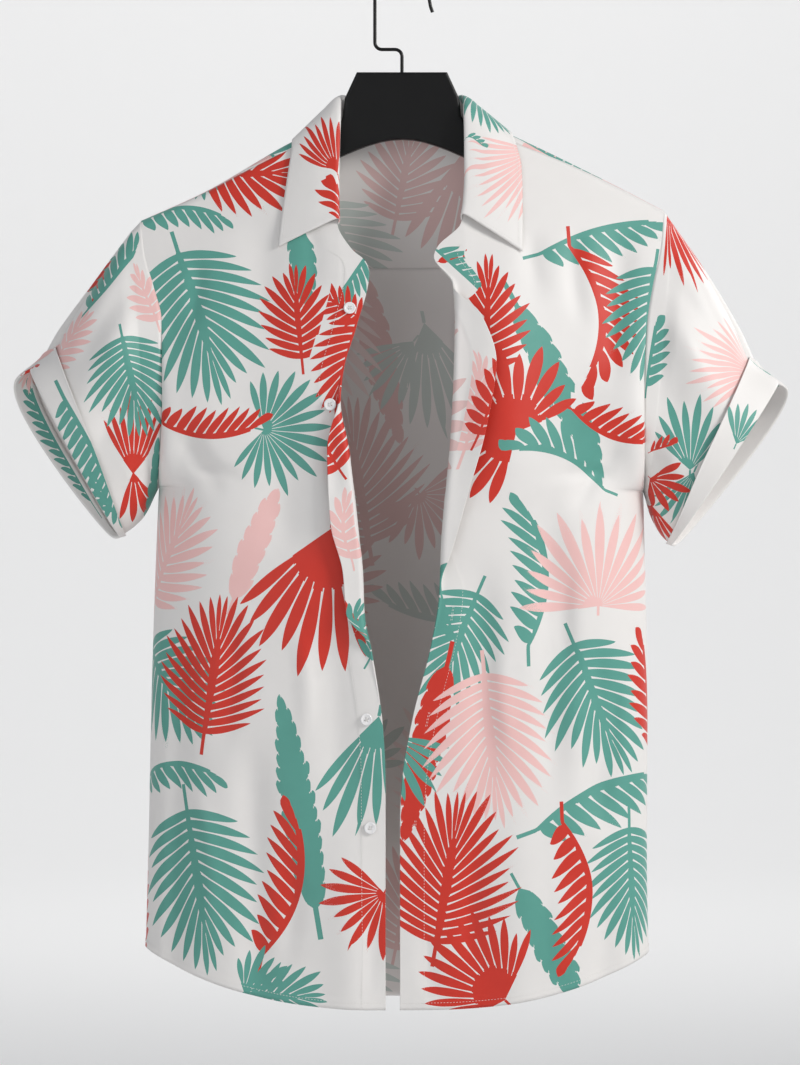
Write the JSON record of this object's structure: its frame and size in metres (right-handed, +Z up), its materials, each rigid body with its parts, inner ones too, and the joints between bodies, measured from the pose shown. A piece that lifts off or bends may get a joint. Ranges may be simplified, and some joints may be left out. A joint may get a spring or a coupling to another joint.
{
  "type": "short-sleeved shirt on a hanger",
  "caption": "Short-sleeved open-fronted printed shirt with a collar, turned-up cuffs and a curved hem, hanging on a moulded hanger with a wire hook.",
  "frame": {"origin": "the inside top of the hook, where a rod carries it", "axes": "+Z up, along the hanging shirt; +X to the right of somebody who faces the shirt; -Y the way the fronts face"},
  "size_m": [0.6466, 0.1417, 0.9019],
  "materials": {
    "printed_cloth": "satin",
    "pearl": "pearly gloss",
    "black_plastic": "satin black",
    "black_wire": "black lacquer"
  },
  "bodies": {
    "root": {"front_right": "printed_cloth", "front_left": "printed_cloth", "back": "printed_cloth", "yoke": "printed_cloth", "sleeve_right": "printed_cloth", "sleeve_left": "printed_cloth", "cuff_right": "printed_cloth", "cuff_left": "printed_cloth", "collar": "printed_cloth", "button_1": "pearl", "button_2": "pearl", "button_3": "pearl", "button_4": "pearl", "button_5": "pearl", "button_6": "pearl", "hanger": "black_plastic", "hook": "black_wire"}
  },
  "joints": []
}
